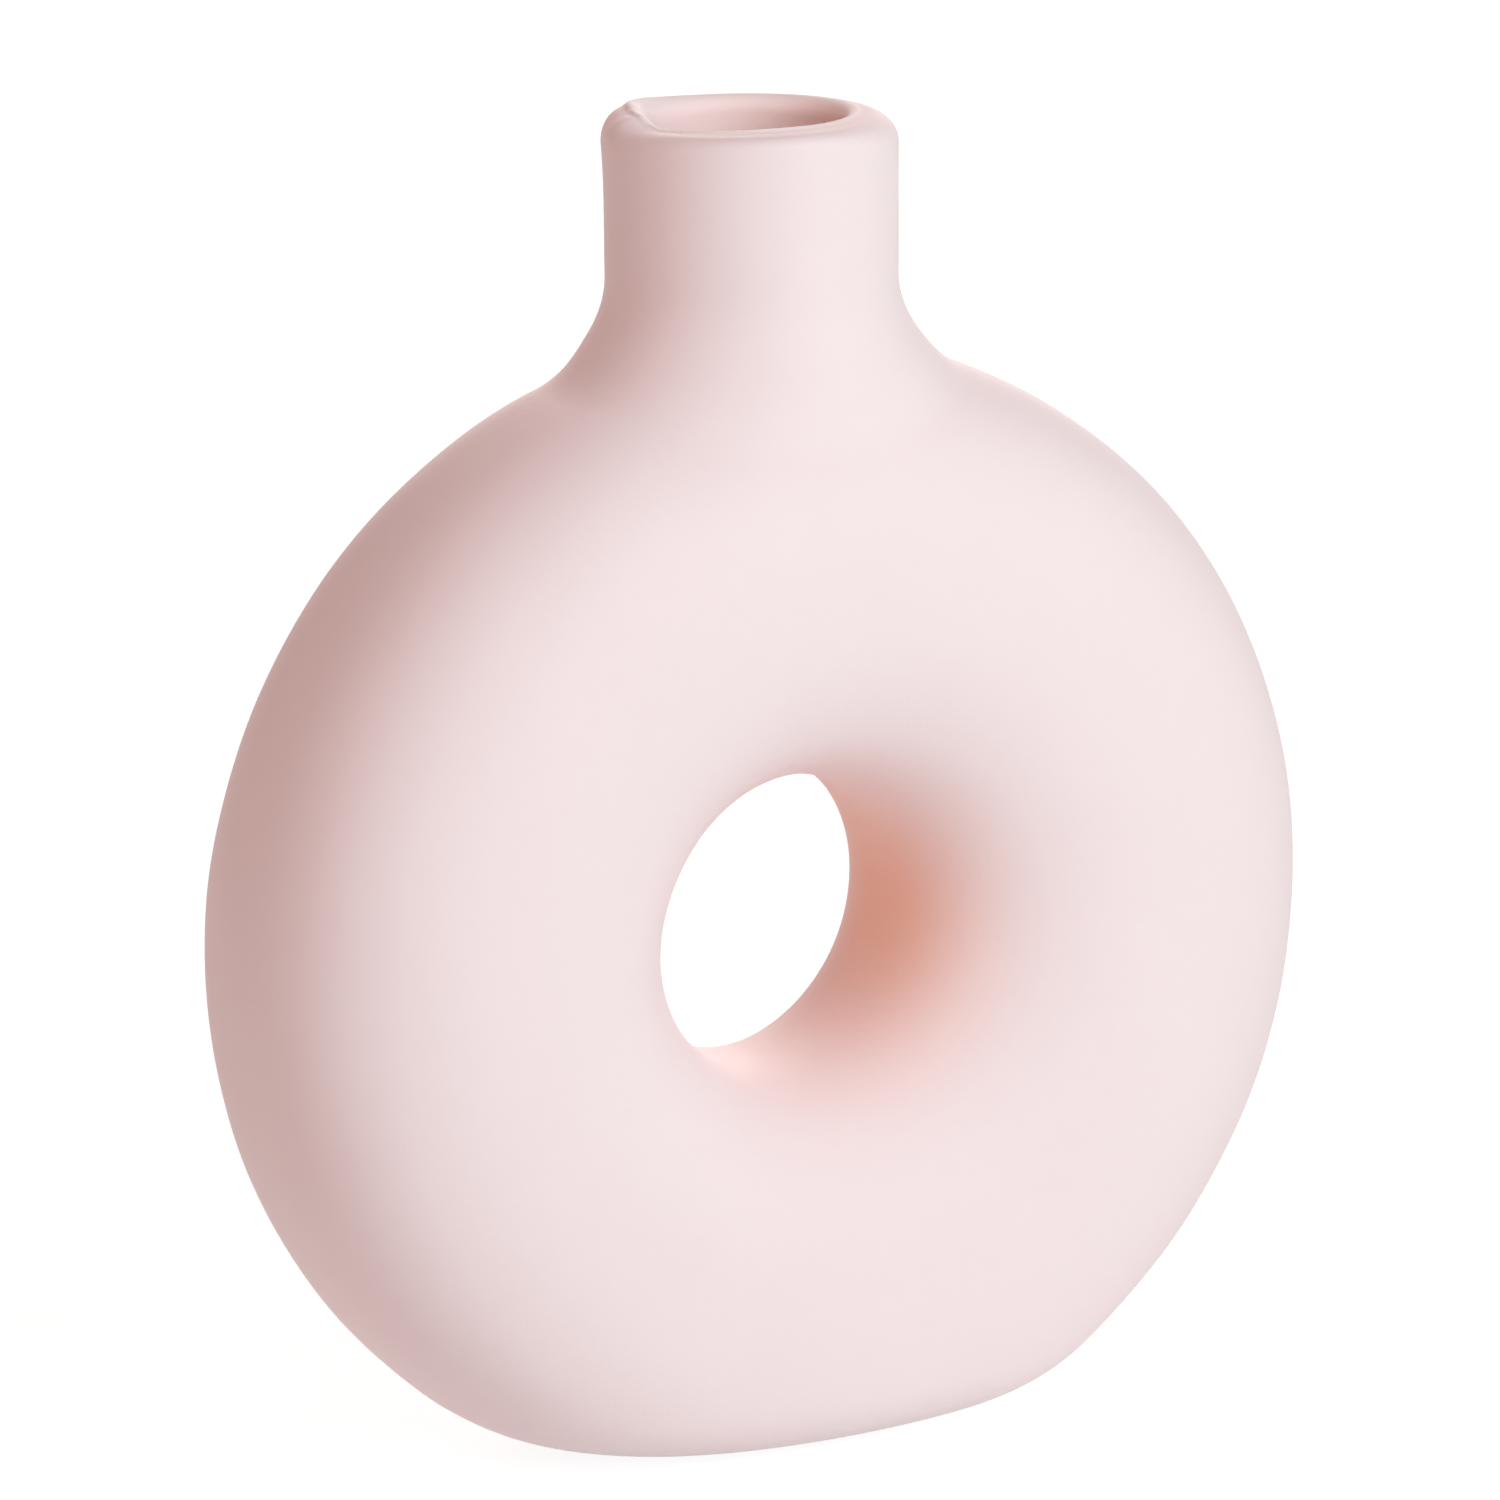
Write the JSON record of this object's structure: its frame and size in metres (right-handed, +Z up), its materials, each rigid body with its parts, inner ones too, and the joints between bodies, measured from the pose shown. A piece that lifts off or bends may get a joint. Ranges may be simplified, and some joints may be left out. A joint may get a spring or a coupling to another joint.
{
  "type": "donut vase",
  "caption": "Upright ring-shaped ceramic vase with a round hole through its middle, a short straight neck for flower stems and a flat foot to stand on.",
  "frame": {"origin": "middle of the flat foot, on the surface the vase stands on", "axes": "+Z up along the neck, +Y along the hole through the ring, towards the rear face, +X across the ring"},
  "size_m": [0.16, 0.0556, 0.1827],
  "materials": {
    "pink_matte_glaze": "matte pale pink glaze"
  },
  "bodies": {
    "root": {"front_half_ring": "pink_matte_glaze", "rear_half_ring": "pink_matte_glaze", "neck": "pink_matte_glaze"}
  },
  "joints": []
}
